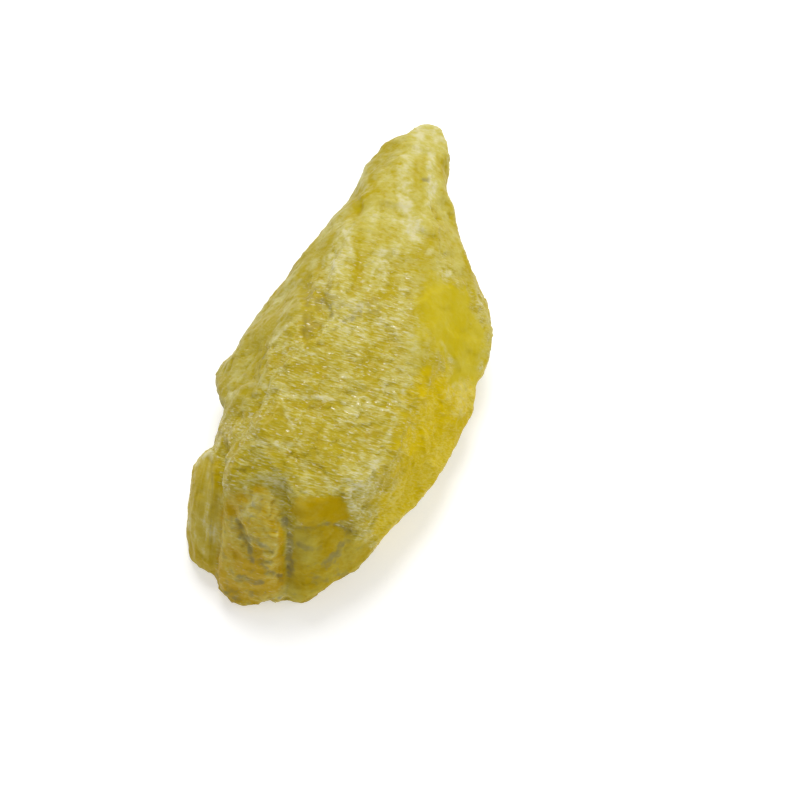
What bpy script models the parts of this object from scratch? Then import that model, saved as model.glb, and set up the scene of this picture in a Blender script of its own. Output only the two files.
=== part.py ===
"""Native sulfur: one broken crystal lump lying on its flattest side, its thin tip pointing along +Y.

The lump is the hull of the corners where its broad faces meet, broken to its outline. Its faces are then
hewn into small fracture facets, stepped along the named ledges, opened along the named clefts, broken to the
outline again, thinned to a light mesh and cut flat underneath, where the lump rests. Corners and strokes are
in millimetres, in the lump's growing frame: +Z up with z = 0 on the table, +Y towards the tip. The last step
centres its box on the origin.
"""

import math

import bmesh
import bpy
import numpy as np
from mathutils import Vector, noise

MM = 0.001

# Corners where the broad faces meet, from the thin tip down to the thick foot.
BODY = {
    "tip": [(-7.0, 51.0, 9.0), (-3.0, 52.5, 11.0), (1.0, 54.0, 9.5), (4.8, 50.5, 8.0), (6.0, 46.0, 6.5)],
    "crest above": [(0.0, 48.0, 13.5), (-1.5, 42.5, 15.5), (-3.0, 31.0, 19.0), (-4.5, 18.0, 23.5)],
    "crest": [(-5.0, 4.0, 27.0), (-4.5, -10.0, 29.0), (-4.0, -23.5, 28.5)],
    "face right above": [(4.0, 38.0, 15.0), (8.0, 24.0, 19.5), (10.0, 16.5, 21.0)],
    "face right": [(11.8, 5.0, 22.0), (14.5, -6.0, 21.5), (14.5, -19.0, 21.0)],
    "face front": [(10.5, -27.0, 22.5), (2.0, -30.0, 25.0), (-8.5, -29.5, 24.0), (-13.5, -26.0, 19.5)],
    "front bevel": [(9.5, -31.5, 18.5), (3.3, -34.4, 20.4), (-4.0, -37.0, 15.8)],
    "left flank": [(-11.5, 20.0, 15.5), (-13.5, 8.0, 17.5), (-14.5, -4.0, 19.0), (-14.5, -15.0, 20.0)],
    "left rim above": [(-9.5, 46.0, 8.0), (-12.0, 34.0, 8.0), (-16.0, 18.0, 8.5)],
    "left rim": [(-19.5, 2.0, 9.0), (-20.5, -8.0, 8.5), (-18.0, -24.0, 6.0)],
    "right rim above": [(7.5, 40.0, 7.0), (12.5, 30.0, 9.0)],
    "right rim": [(18.0, 22.5, 9.5), (22.5, 15.0, 8.5), (23.5, 6.0, 7.0)],
    "right flank": [(23.0, -6.0, 7.0), (20.5, -18.0, 6.0), (17.0, -27.0, 4.5), (13.5, -33.0, 3.0)],
    "front rim": [(8.2, -38.2, 1.5), (2.0, -41.0, 0.5), (-5.0, -42.0, 0.5)],
    "front rim left": [(-11.0, -40.0, 1.0), (-16.5, -36.0, 2.0)],
    "left undercut": [(-17.5, -13.0, 2.0), (-15.5, 6.0, 1.0), (-9.5, 30.0, 2.0)],
    "right undercut": [(20.5, 4.0, 1.5), (17.5, -14.0, 0.5), (8.0, 32.0, 2.5)],
    "underside": [(-4.0, 41.0, 2.5), (3.5, 39.0, 2.0), (-7.5, 23.0, -4.0), (5.5, 26.0, -4.0), (-10.5, 2.0, -6.0)],
    "underside right": [(14.0, 9.0, -6.0), (14.0, -15.0, -6.0)],
    "underside front": [(6.5, -32.0, -6.0), (-7.0, -36.0, -6.0), (-11.0, -25.0, -6.0)],
}

# The outline, as the broad face shows it along a line that leans back from upright, from the tip clockwise.
SIGHT_TURN = math.radians(17.0)
SIGHT_RISE = math.radians(60.0)
SIGHT_MIDDLE = (10.48, -2.14, 9.05)
SIGHT_LENGTH = 305.0
# Where the prism starts and ends along a line of sight, as shares of the way to the lump.
PRISM_ENDS = (0.7, 1.3)
# The first break leaves this much outside the outline for the facets to be hewn from.
ROUGH_MARGIN = 0.3
OUTLINE = [
    (4.8, 44.9), (6.6, 43.9), (7.6, 41.8), (8.1, 39.9), (7.9, 37.3), (7.3, 34.6), (7.8, 32.8), (8.7, 31.0),
    (9.0, 28.3), (9.7, 25.7), (10.8, 22.9), (12.3, 19.5), (13.6, 16.8), (14.9, 14.2), (15.3, 11.6), (14.7, 8.9),
    (14.2, 6.1), (13.4, 4.2), (12.1, 2.3), (12.1, -0.3), (11.6, -2.3), (9.0, -7.4), (5.8, -12.9), (3.7, -16.0),
    (0.6, -18.6), (-1.8, -21.0), (-3.7, -23.4), (-5.8, -26.0), (-7.9, -28.1), (-9.5, -28.9), (-10.7, -29.1),
    (-12.1, -30.4), (-14.0, -32.1), (-16.1, -32.8), (-19.5, -32.9), (-21.0, -32.1), (-23.3, -33.1),
    (-26.2, -32.9), (-27.8, -32.1), (-29.1, -30.5), (-30.0, -28.7), (-31.8, -27.3), (-33.6, -26.0),
    (-34.2, -23.9), (-34.4, -21.0), (-34.1, -16.1), (-33.7, -13.2), (-33.4, -10.5), (-32.0, -8.9), (-31.0, -8.1),
    (-29.9, -7.9), (-29.5, -6.0), (-29.1, -3.7), (-28.1, -1.6), (-28.9, -0.2), (-29.5, 1.9), (-29.7, 4.0),
    (-28.6, 5.8), (-26.6, 7.6), (-25.2, 10.5), (-22.8, 13.9), (-20.3, 17.3), (-18.4, 19.5), (-17.0, 21.8),
    (-14.7, 24.7), (-12.4, 27.4), (-10.2, 30.2), (-8.2, 32.3), (-7.1, 34.2), (-6.1, 36.2), (-6.0, 37.6),
    (-4.7, 38.6), (-3.7, 39.6), (-2.6, 41.3), (-0.8, 42.3), (0.8, 42.8), (2.1, 43.6), (3.2, 44.4),
]

# Clefts and furrows: the route over the surface, half width and depth.
CLEFTS = {
    "foot and toe": (
        [(0.3, -29.5, 24.0), (0.9, -31.3, 22.2), (1.9, -33.6, 20.6), (3.6, -35.2, 18.4), (3.3, -36.8, 14.0),
         (3.4, -38.7, 6.4), (3.2, -39.5, 0.0)],
        1.5, 2.3,
    ),
    "split foot": ([(-5.8, -33.3, 18.8), (-4.6, -35.2, 17.0), (-2.8, -37.0, 15.4)], 1.3, 1.1),
    "slab seam": (
        [(-10.8, -25.1, 20.6), (-9.6, -29.0, 19.9), (-9.2, -31.6, 16.3), (-8.9, -33.9, 12.3),
         (-8.7, -35.9, 8.5), (-8.8, -38.4, 3.0)],
        1.1, 1.5,
    ),
    "slab furrow": (
        [(-13.5, -25.5, 17.8), (-12.6, -29.2, 16.2), (-11.9, -32.6, 12.8), (-11.5, -35.3, 7.8), (-11.3, -37.3, 3.0)],
        0.7, 0.5,
    ),
    "crest pit": ([(-5.0, 24.8, 20.5), (-3.8, 22.6, 21.8)], 1.6, 1.0),
    "window crack": ([(13.1, 4.2, 21.5), (10.6, 8.8, 21.7), (10.2, 13.0, 21.3)], 0.8, 0.35),
    "toe vein": (
        [(3.4, -34.0, 20.2), (5.1, -33.1, 20.0), (7.1, -31.9, 19.3), (8.5, -30.7, 18.5), (10.0, -29.6, 16.0),
         (11.6, -29.5, 14.9)],
        0.8, 0.6,
    ),
    "left dimple": ([(-12.0, -7.0, 21.5), (-10.5, -12.5, 23.5)], 1.8, 0.9),
}
CLEFT_FLARE = 1.5

# Ledges: the route of the step over the surface, the way down from it, its drop and how far the low side runs.
LEDGES = {
    "recess": (
        [(-4.4, 11.5, 24.5), (-2.6, 3.9, 26.5), (-0.6, -0.7, 26.6), (-1.6, -4.6, 27.5), (-3.4, -7.4, 28.0)],
        (-1.0, 0.1, 0.0), 1.6, 7.0,
    ),
    "shoulder": (
        [(-6.3, -13.0, 28.0), (-6.0, -16.0, 27.7), (-7.7, -17.6, 26.0), (-11.0, -18.0, 23.0)],
        (0.5, -1.0, 0.0), 1.0, 5.0,
    ),
    "slab": (
        [(-10.5, -25.1, 20.6), (-9.3, -29.0, 19.9), (-9.0, -31.6, 16.3), (-8.7, -33.9, 12.3),
         (-8.5, -35.9, 8.5), (-8.6, -38.4, 3.0)],
        (-1.0, -0.1, 0.0), 1.5, 8.0,
    ),
    "tip": (
        [(-3.0, 43.2, 15.0), (-1.4, 43.7, 15.5), (1.4, 44.0, 13.9), (3.9, 44.1, 11.9)],
        (0.0, -1.0, 0.0), 0.7, 5.0,
    ),
    "upper": (
        [(-0.5, 27.5, 19.8), (2.2, 27.0, 19.5), (3.9, 26.0, 19.4), (5.8, 24.0, 19.6)],
        (0.3, -1.0, 0.0), 0.6, 5.0,
    ),
    "middle": ([(2.6, 14.2, 22.9), (5.0, 10.9, 22.8), (5.6, 6.6, 23.7)], (1.0, 0.0, 0.0), 0.5, 5.0),
    "broad": (
        [(1.5, -3.5, 26.0), (4.5, -5.3, 25.6), (7.2, -6.0, 24.7), (9.2, -8.2, 23.6)],
        (0.0, -1.0, 0.0), 0.35, 7.0,
    ),
    "brow": (
        [(4.2, -24.0, 25.6), (6.9, -25.6, 24.6), (10.1, -25.4, 23.2), (13.1, -25.2, 18.3)],
        (0.0, -1.0, 0.0), 0.6, 5.0,
    ),
    "toe": ([(10.4, -28.2, 20.9), (11.4, -29.4, 15.0), (11.2, -31.4, 10.5)], (-0.7, -1.0, 0.0), 0.9, 5.0),
    "flank": ([(13.8, -6.8, 21.5), (16.8, -9.6, 18.5), (18.6, -13.4, 15.5)], (0.2, -1.0, 0.0), 0.7, 7.0),
}
LEDGE_SCARP = 0.9

CARVING_GRAIN = 0.65 * MM
SWELL_SIZE = 15.0 * MM
SWELL_DEPTH = 0.7 * MM
SWELL_BIAS = 0.35
SWELL_ROUGHNESS = 0.9
SWELL_OCTAVES = 3
OCTAVE_STEP = 2.1
# Elongated lumps that lie along the growing direction.
GRAIN_SIZE = Vector((2.6 * MM, 7.0 * MM, 3.5 * MM))
GRAIN_DEPTH = 0.35 * MM
# Fracture facets, coarse then fine: spacing, tilt and how far each point goes to its facet.
FACETS = [(9.0 * MM, 0.09, 0.7), (3.8 * MM, 0.12, 0.4)]
FACET_SEED = 7
FACET_REACH = 0.6 * MM
# A facet faces the way its middle part does, and holds on to points that face the same way.
FACET_MIDDLE = 0.6
FACET_HOLD = 2.5
TRIANGLES = 11500
CUT_TOLERANCE = 1e-7
SULFUR_YELLOW = (0.52, 0.42, 0.07, 1.0)


def clear_scene():
    for obj in list(bpy.data.objects):
        bpy.data.objects.remove(obj, do_unlink=True)


def add_object(name, work, collection):
    """A new object from the bmesh, with its faces turned outwards."""
    bmesh.ops.recalc_face_normals(work, faces=work.faces)
    mesh = bpy.data.meshes.new(name)
    work.to_mesh(mesh)
    work.free()
    made = bpy.data.objects.new(name, mesh)
    collection.objects.link(made)
    return made


def hull(name, corners, collection):
    """One block: the convex hull of its corners."""
    work = bmesh.new()
    for corner in corners:
        work.verts.new(Vector(corner) * MM)
    made = bmesh.ops.convex_hull(work, input=work.verts)
    spare = [part for part in made["geom_interior"] + made["geom_unused"] if isinstance(part, bmesh.types.BMVert)]
    bmesh.ops.delete(work, geom=list(set(spare)), context="VERTS")
    return add_object(name, work, collection)


def widened(outline, margin):
    """The outline with each point moved straight outwards by the margin."""
    moved = []
    for index, (across, along) in enumerate(outline):
        before, after = Vector(outline[index - 1]), Vector(outline[(index + 1) % len(outline)])
        run = (after - before).normalized()
        moved.append((across - run.y * margin, along + run.x * margin))
    return moved


def outline_prism(name, margin, collection):
    """The room inside the outline: its points drawn out along the lines of sight that meet at one eye."""
    right = Vector((math.cos(SIGHT_TURN), math.sin(SIGHT_TURN), 0.0))
    level = Vector((-math.sin(SIGHT_TURN), math.cos(SIGHT_TURN), 0.0))
    sight = level * math.cos(SIGHT_RISE) - Vector((0.0, 0.0, math.sin(SIGHT_RISE)))
    up = right.cross(sight)
    middle = Vector(SIGHT_MIDDLE)
    eye = (middle - sight * SIGHT_LENGTH) * MM
    near, far = PRISM_ENDS
    work = bmesh.new()
    ring = []
    for across, along in widened(OUTLINE, margin):
        seen = (middle + right * across + up * along) * MM
        ring.append(work.verts.new(eye + (seen - eye) * near))
    cap = work.faces.new(ring)
    drawn = bmesh.ops.extrude_face_region(work, geom=[cap], use_keep_orig=True)
    for part in drawn["geom"]:
        if isinstance(part, bmesh.types.BMVert):
            part.co = eye + (part.co - eye) * far / near
    return add_object(name, work, collection)


def applied(obj):
    """The object's mesh with its modifiers worked in, in place of its old one."""
    graph = bpy.context.evaluated_depsgraph_get()
    mesh = bpy.data.meshes.new_from_object(obj.evaluated_get(graph))
    obj.modifiers.clear()
    obj.data = mesh


def break_to(lump, prism):
    """Keeps what is inside the prism."""
    prism.hide_render = True
    prism.display_type = "WIRE"
    step = lump.modifiers.new(prism.name, "BOOLEAN")
    step.operation = "INTERSECT"
    step.solver = "EXACT"
    step.object = prism
    applied(lump)


def even_grain(lump):
    """One even-grained closed surface, fine enough to carve."""
    grain = lump.modifiers.new("even grain", "REMESH")
    grain.mode = "VOXEL"
    grain.voxel_size = CARVING_GRAIN
    applied(lump)


def read_surface(mesh):
    points = np.empty(len(mesh.vertices) * 3)
    mesh.vertices.foreach_get("co", points)
    normals = np.empty(len(mesh.vertices) * 3)
    mesh.vertices.foreach_get("normal", normals)
    return points.reshape(-1, 3), normals.reshape(-1, 3)


def write_points(mesh, points):
    mesh.vertices.foreach_set("co", points.ravel())
    mesh.update()


def swell(mesh):
    """Slow rises and hollows, so that no broad face is quite flat."""
    points, normals = read_surface(mesh)
    lift = []
    for point in points:
        broad = noise.fractal(Vector(point) / SWELL_SIZE, SWELL_ROUGHNESS, OCTAVE_STEP, SWELL_OCTAVES)
        grain = noise.noise(Vector(point / np.array(GRAIN_SIZE)))
        lift.append((broad - SWELL_BIAS) * SWELL_DEPTH + grain * GRAIN_DEPTH)
    write_points(mesh, points + normals * np.array(lift)[:, None])


def nearest_on(route, points):
    """From the nearest place on the route to each point."""
    best = np.full(len(points), np.inf)
    offsets = np.zeros_like(points)
    for start, end in zip(route[:-1], route[1:]):
        start, end = np.array(start) * MM, np.array(end) * MM
        share = np.clip((points - start) @ (end - start) / np.sum((end - start) ** 2), 0.0, 1.0)
        offset = points - start - share[:, None] * (end - start)
        away = np.linalg.norm(offset, axis=1)
        nearer = away < best
        best[nearer] = away[nearer]
        offsets[nearer] = offset[nearer]
    return best, offsets


def open_clefts(mesh):
    points, normals = read_surface(mesh)
    for route, half_width, depth in CLEFTS.values():
        away = nearest_on(route, points)[0]
        share = np.clip(1.0 - away / (2.0 * half_width * MM), 0.0, 1.0)
        points = points - normals * (depth * MM * share**CLEFT_FLARE)[:, None]
    write_points(mesh, points)


def step_ledges(mesh):
    points, normals = read_surface(mesh)
    for route, way_down, drop, run in LEDGES.values():
        away, offsets = nearest_on(route, points)
        way_down = np.array(way_down) / np.linalg.norm(way_down)
        beyond = offsets @ way_down
        level = np.maximum(np.linalg.norm(offsets[:, :2], axis=1), CUT_TOLERANCE)
        scarp = np.clip(beyond / (LEDGE_SCARP * MM), 0.0, 1.0)
        fade = np.clip(1.0 - away / (run * MM), 0.0, 1.0)
        facing = np.clip(2.0 * beyond / level, 0.0, 1.0)
        points = points - normals * (drop * MM * scarp * fade * facing)[:, None]
    write_points(mesh, points)


def hew(mesh, spacing, tilt, share, seed):
    """Small fracture facets: each point goes part of the way to the tilted plane of its own facet."""
    points, normals = read_surface(mesh)
    chance = np.random.default_rng(seed)
    centres = []
    for index in chance.permutation(len(points)):
        if all(np.sum((points[index] - points[other]) ** 2) > spacing**2 for other in centres):
            centres.append(index)
    planes = []
    for index in centres:
        near = np.sum((points - points[index]) ** 2, axis=1) < (FACET_MIDDLE * spacing) ** 2
        facing = normals[near].mean(axis=0)
        facing = facing / np.linalg.norm(facing) + chance.normal(0.0, tilt, 3)
        planes.append(facing / np.linalg.norm(facing))
    nearest = np.full(len(points), np.inf)
    moves = np.zeros_like(points)
    for index, facing in zip(centres, planes):
        apart = points - points[index]
        turned = 1.0 - normals @ facing
        cost = np.sqrt(np.sum(apart**2, axis=1)) + FACET_HOLD * spacing * turned
        height = np.clip(apart @ facing, -FACET_REACH, FACET_REACH)
        taken = cost < nearest
        nearest[taken] = cost[taken]
        moves[taken] = -facing * (share * height[taken])[:, None]
    write_points(mesh, points + moves)


def thin_out(lump):
    """Fewer triangles on the flats, and the creases kept."""
    lump.data.calc_loop_triangles()
    fewer = lump.modifiers.new("fewer triangles", "DECIMATE")
    fewer.ratio = TRIANGLES / len(lump.data.loop_triangles)
    applied(lump)


def cut_resting_face(lump):
    """The flat break underneath, on the table at z = 0, and the box centred over the origin."""
    work = bmesh.new()
    work.from_mesh(lump.data)
    everything = work.verts[:] + work.edges[:] + work.faces[:]
    cut = bmesh.ops.bisect_plane(
        work, geom=everything, dist=CUT_TOLERANCE, plane_co=(0, 0, 0), plane_no=(0, 0, -1), clear_outer=True
    )
    rim = [part for part in cut["geom_cut"] if isinstance(part, bmesh.types.BMEdge)]
    bmesh.ops.holes_fill(work, edges=rim, sides=0)
    bmesh.ops.triangulate(work, faces=work.faces)
    bmesh.ops.recalc_face_normals(work, faces=work.faces)
    low = Vector(map(min, *(vert.co for vert in work.verts)))
    high = Vector(map(max, *(vert.co for vert in work.verts)))
    middle = (low + high) / 2
    bmesh.ops.translate(work, verts=work.verts, vec=(-middle.x, -middle.y, 0.0))
    work.to_mesh(lump.data)
    work.free()


def sulfur():
    material = bpy.data.materials.new("sulfur")
    material.use_nodes = True
    shader = material.node_tree.nodes["Principled BSDF"]
    shader.inputs["Base Color"].default_value = SULFUR_YELLOW
    shader.inputs["Roughness"].default_value = 0.42
    shader.inputs["Metallic"].default_value = 0.0
    shader.inputs["IOR"].default_value = 1.9
    return material


def build():
    clear_scene()
    specimen = bpy.data.collections.new("sulfur crystal")
    shaping = bpy.data.collections.new("shaping")
    bpy.context.scene.collection.children.link(specimen)
    bpy.context.scene.collection.children.link(shaping)
    lump = hull("sulfur_crystal", [corner for corners in BODY.values() for corner in corners], specimen)
    break_to(lump, outline_prism("rough outline", ROUGH_MARGIN, shaping))
    even_grain(lump)
    swell(lump.data)
    for step, (spacing, tilt, share) in enumerate(FACETS):
        hew(lump.data, spacing, tilt, share, FACET_SEED + step)
    step_ledges(lump.data)
    open_clefts(lump.data)
    break_to(lump, outline_prism("outline", 0.0, shaping))
    thin_out(lump)
    cut_resting_face(lump)
    lump.data.materials.clear()
    lump.data.materials.append(sulfur())


build()
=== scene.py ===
import math

import bmesh
import bpy
import numpy as np
from bpy.props import FloatProperty, FloatVectorProperty, IntProperty, PointerProperty
from mathutils import Matrix, Vector, noise


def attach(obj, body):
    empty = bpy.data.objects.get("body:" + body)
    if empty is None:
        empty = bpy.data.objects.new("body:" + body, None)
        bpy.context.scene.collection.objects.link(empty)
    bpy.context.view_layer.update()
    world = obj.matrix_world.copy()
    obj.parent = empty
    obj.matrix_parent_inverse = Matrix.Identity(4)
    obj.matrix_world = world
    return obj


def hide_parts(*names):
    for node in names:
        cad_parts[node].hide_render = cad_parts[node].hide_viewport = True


bl_info = {
    "name": "Native sulfur crystal",
    "version": (1, 0, 0),
    "blender": (4, 5, 0),
    "location": "View3D > Sidebar > Sulfur",
    "description": "Dresses a packed lump of native sulfur in satin lamellae, frost, clear windows and dirt",
    "category": "Mesh",
}

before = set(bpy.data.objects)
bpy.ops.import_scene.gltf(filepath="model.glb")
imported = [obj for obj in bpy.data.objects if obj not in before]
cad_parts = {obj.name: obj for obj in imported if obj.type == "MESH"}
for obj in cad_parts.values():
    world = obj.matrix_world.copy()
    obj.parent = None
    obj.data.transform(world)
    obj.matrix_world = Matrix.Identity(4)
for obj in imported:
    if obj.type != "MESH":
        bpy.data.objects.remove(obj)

MM = 0.001
NODE = "sulfur_crystal"

# The line of sight onto the broad face: turned about Z, risen above the level, the point it aims at and how
# far it starts from there. Then the camera's lens in millimetres, and the nearest that it sees in metres.
SIGHT_TURN = math.radians(17.0)
SIGHT_RISE = math.radians(60.0)
SIGHT_MIDDLE = Vector((9.39, -8.085, 9.05)) * MM
SIGHT_LENGTH = 305.0 * MM
SIGHT_BACK = Vector(
    (
        math.sin(SIGHT_TURN) * math.cos(SIGHT_RISE),
        -math.cos(SIGHT_TURN) * math.cos(SIGHT_RISE),
        math.sin(SIGHT_RISE),
    )
)
SIGHT_RIGHT = Vector((math.cos(SIGHT_TURN), math.sin(SIGHT_TURN), 0.0))
SIGHT_UP = SIGHT_BACK.cross(SIGHT_RIGHT)
LENS = 85.0
NEAREST_SEEN = 0.01

# Which way the lamellae run: across the line of sight, falling to the right.
GRAIN_FALL = math.radians(14.0)
GRAIN_RUN = SIGHT_RIGHT * math.cos(GRAIN_FALL) - SIGHT_UP * math.sin(GRAIN_FALL)
GRAIN_TURN = Matrix((GRAIN_RUN, SIGHT_BACK.cross(GRAIN_RUN), SIGHT_BACK)).transposed()

# Round soft lamps: name, place and width in metres, and power in watts. Then the glow of sky and floor.
LAMPS = (
    ("key", (-0.08, 0.3, 0.6), 0.36, 3.2),
    ("fill", (0.9, 0.1, 0.6), 0.6, 2.0),
)
SKY_GLOW = 0.5
FLOOR_GLOW = 0.42
FLOOR_WIDTH = 6.0
FLOOR_ROUGHNESS = 0.9
WHITE = (1.0, 1.0, 1.0, 1.0)

# Rounds in which points or normals are drawn towards their neighbours: on the new surface, along worn seams,
# for the way that a broad face looks, and to tell ridges from hollows. Then how far each round draws them.
SETTLE_ROUNDS = 2
WEAR_ROUNDS = 60
BROAD_ROUNDS = 40
RIDGE_ROUNDS = 12
ROUND_SHARE = 0.5

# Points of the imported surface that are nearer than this, in millimetres, are one.
WELD_REACH = 0.001

# Noise over the surface: size in millimetres, one for all axes or one for each, octaves and start. Each
# octave is finer than the last by the gap, and a greater fall makes it weaker.
FIELDS = {
    "fray": (1.4, 4, 0.0),
    "wander": (2.2, 5, 41.0),
    "edge": (6.0, 2, 47.0),
    "gaps": (1.1, 3, 21.0),
    "far frost": (5.0, 4, 3.0),
    "far gold": (7.0, 3, 9.0),
    "dirt spots": (1.3, 3, 71.0),
    "bend x": (5.0, 2, 0.0),
    "bend y": (5.0, 2, 31.0),
    "bend z": (5.0, 2, 57.0),
    "lumps": ((2.4, 5.0, 3.0), 3, 13.0),
    "ribs": ((1.1, 6.0, 1.6), 2, 17.0),
    "ledges": ((2.2, 1.2, 1.1), 3, 83.0),
    "furrows": (0.6, 2, 5.0),
}
RIPPLE_OCTAVES = 3
FRACTAL_FALL = 1.0
FRACTAL_GAP = 2.0

# Where each smooth step from 0 to 1 starts and ends. Turns are cosines to the line of sight, or to straight
# down. Shares count half widths from a mark's middle. Gap and spot levels are values of their noise, ridge
# levels count ridge heights, and the satin fades between two heights in the plane of sight.
SHOWN_TURNS = (-0.05, 0.15)
AREA_TURNS = (-0.55, -0.1)
UNDER_TURNS = (0.5, 0.9)
STROKE_SHARES = (0.2, 1.35)
DENT_SHARES = (0.0, 1.3)
GAP_LEVELS = (-0.5, 0.3)
SPOT_LEVELS = (0.15, 0.5)
RIDGE_LEVELS = (0.3, 1.6)
SATIN_FADE_MM = (12.0, 34.0)

# How far noise moves the sides of strokes, the limit of the areas on the far side, and the sides of areas,
# where a soft one moves more. A broken stroke keeps at least its least share.
FRAY_REACH = 0.45
AREA_WANDER = 0.5
AREA_EDGE_WANDER = 0.3
SIDE_WANDER = 0.5
SOFT_SIDE_WANDER = 0.35
BROKEN_STROKES = ("frost", "band", "gold", "grime")
BROKEN_LEAST = 0.45

# Marks of the far side: which noise draws each, and between which levels.
FAR_MARKS = {"frost": ("far frost", 0.25, 0.9), "gold": ("far gold", 0.3, 0.8)}

# How even the surface is in each mark, how far each takes the satin away, and how full of dirt spots it is.
SMOOTH_SHARES = {
    "window": 1.0, "flank": 0.5, "left": 0.4, "amber": 0.85, "slab": 0.6, "toe": 0.5, "calm": 0.6,
}
DULL_SHARES = {
    "window": 1.0, "flank": 0.2, "left": 0.85, "shoulder": 0.85, "slab": 0.95, "foot": 0.7, "toe": 0.85,
    "amber": 1.0, "calm": 0.9,
}
SPOT_SHARES = {"foot": 0.5, "toe": 0.4}

# Relief, in millimetres: the full height of each noise, and how far each mark lifts or sinks its place. Then
# the height that counts as a ridge, how far the grain bends, and how high the flat break reaches.
LUMP_HEIGHT = 0.2
RIB_HEIGHT = 0.11
LEDGE_HEIGHTS = {"foot": 0.16, "toe": 0.08, "shoulder": 0.08}
MARK_HEIGHTS = {"band": 0.06, "frost": 0.08, "gold": -0.08}
RIDGE_HEIGHT = 0.12
BEND_REACH = 0.3
REST_HEIGHT = 0.4

# How much of the ripples dull places keep, and how far smooth places lose their lumps and chips. Then how
# many times deeper than wide ripples are, how furrows stretch, and which way the flat break faces.
RIPPLE_LEAST = 0.25
LUMPS_EVENED = 0.7
CHIP_SHARE = 0.8
CHIPS_EVENED = 0.6
RIPPLE_DEEP = 2.0
FURROW_STRETCH = (0.04, 0.02)
REST_TURN = -0.9

# Fracture facets: how far each tilts, the most that it moves a point in millimetres, how far its middle moves
# as a share of its cell, and how many cells further away it counts for a point at a right angle to it.
CHIP_TILT = 0.15
CHIP_REACH = 0.18
CELL_SCATTER = 0.28
TURN_CELLS = 2.0

# Noises of the material along the grain: the place they start from, length and width in millimetres, octaves
# and roughness. Then how many times deeper than wide they are.
GRAIN_NOISES = {
    "lamella": ("bent", 2.1, 0.56, 2.0, 0.5),
    "fibre": ("bent", 1.15, 0.25, 2.0, 0.55),
    "spark": ("straight", 0.85, 0.28, 0.0, 0.5),
}
LAMELLA_DEEP = 3.0

# Its other noises: the place they start from, how many go to a metre, octaves and roughness. Long and upright
# places are bent ones with their axes stretched. Bent ones are moved by a slow noise, in millimetres.
PLACE_NOISES = {
    "cloud": ("long", 200.0, 2.0, 0.5),
    "sweep": ("long", 85.0, 1.0, 0.5),
    "rib": ("upright", 1900.0, 2.0, 0.5),
    "blotch": ("straight", 520.0, 3.0, 0.6),
    "speckle": ("straight", 1300.0, 2.0, 0.6),
}
PLACE_STRETCHES = {"long": (1.0, 0.42, 1.0), "upright": (1.0, 0.05, 0.04)}
BENDS_TO_METRE = 230.0
BEND_OCTAVES = 1.0
BENT_REACH = 0.5

# What draws the pale lamellae, the clouds and the marks, and what each adds to how pale a place is. The pale
# lamellae are partly their own colour and partly painted sheen of lamellae turned to the light. The streaks
# and clouds come from noises, each counted from its middle.
MIDDLE = 0.5
STREAKS = {"lamella": 0.7, "fibre": 1.4}
STREAK_STRENGTH = {"satin": 0.85}
STREAK_LEAST = 0.12
CLOUDS = {"cloud": 1.1, "sweep": 0.7, "blotch": 0.5, "speckle": 0.25}
# The hollow mark paints shade: it darkens the hollows of the relief.
MARKS = {
    "frost": 0.42, "band": 0.36, "gold": -0.38, "veil": 0.13, "flank": -0.08, "ridge": 0.08, "hollow": -0.1,
}
SUGAR_STRENGTH = {"satin": -1.0, "smooth": -0.6}
PALE_SHARES = {"streaks": 1.0, "clouds": 0.75, "marks": 1.0, "ribs": 0.6, "sugar": 0.3}
PALE_START = 0.47

# Which parts have colours of their own, how strongly, and the colour's name, which its haze has too.
TINTS = (
    ("left", 0.8, "left"), ("shoulder", 0.7, "left"), ("flank", 0.9, "flank"), ("window", 0.9, "window"),
    ("slab", 0.9, "slab"), ("foot", 0.9, "foot"), ("toe", 0.9, "toe"), ("amber", 0.9, "amber"),
)

# Between which levels of its noise or paleness each colour sets in, and how far it covers what is under it.
EMBER_LEVELS = (0.45, 0.65)
# Pale places take the haze colour, which on the body is the lemon of the lamellae with painted sheen; the
# whitest take frost white, which on the brightest lamellae is a painted highlight.
HAZE_AND_SHEEN_LEVELS = (0.26, 0.74)
WHITE_LEVELS = (0.62, 0.95)
POWDER_LEVELS = (0.35, 0.65)
POWDER_COVER = 0.45
# Dirt in clefts and specks, and painted shade down the recess on the upper left, both drawn from the grime
# strokes.
DIRT_AND_SHADE_SHARES = {"grime": 0.8, "blotch": 0.6, "speckle": 0.6}
DIRT_AND_SHADE_LEVELS = (0.68, 1.42)
DIRT_AND_SHADE_EDGE = (0.05, 0.3)
DIRT_AND_SHADE_COVER = 0.75
# Glints are specks of the satin with real sheen; the frost white that they lay on the colour is a painted
# highlight.
GLINT_LEVELS = (0.69, 0.78)
PAINTED_GLINT_COVER = 0.7
CLEAR_PARTS = ("window", "flank", "amber", "toe")
CLEAR_SHARE = 0.9

# Finish: what makes a place rough, what gives it sheen, what its small bumps come from, and how light goes
# into it and glows. Height and reach are in millimetres. The painted masks are stored on the mesh.
ROUGHNESS = {"fibre": 0.2, "smooth": 0.05, "frost": 0.1, "grime": 0.2, "glint": -0.2}
ROUGHNESS_START = 0.3
SHEEN = {"glint": 0.6, "cloudy satin": 0.2, "cloudy": 0.04}
BUMPS = {"lamella": 0.6, "fibre": 0.5, "speckle": 0.2}
BUMP_STRENGTH = {"satin": 0.7, "cloudy": 0.1}
BUMP_LEAST = 0.15
BUMP_HEIGHT = 0.24
INDEX = 1.5
GLOW_SHARE = 0.2
GLOW_COLOUR = (1.0, 0.75, 0.2)
GLOW_REACH = 0.6
PAINTED = (
    "satin", "smooth", "ridge", "hollow", "frost", "band", "gold", "grime", "veil", "window", "flank", "left",
    "shoulder", "slab", "foot", "toe", "amber",
)

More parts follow.
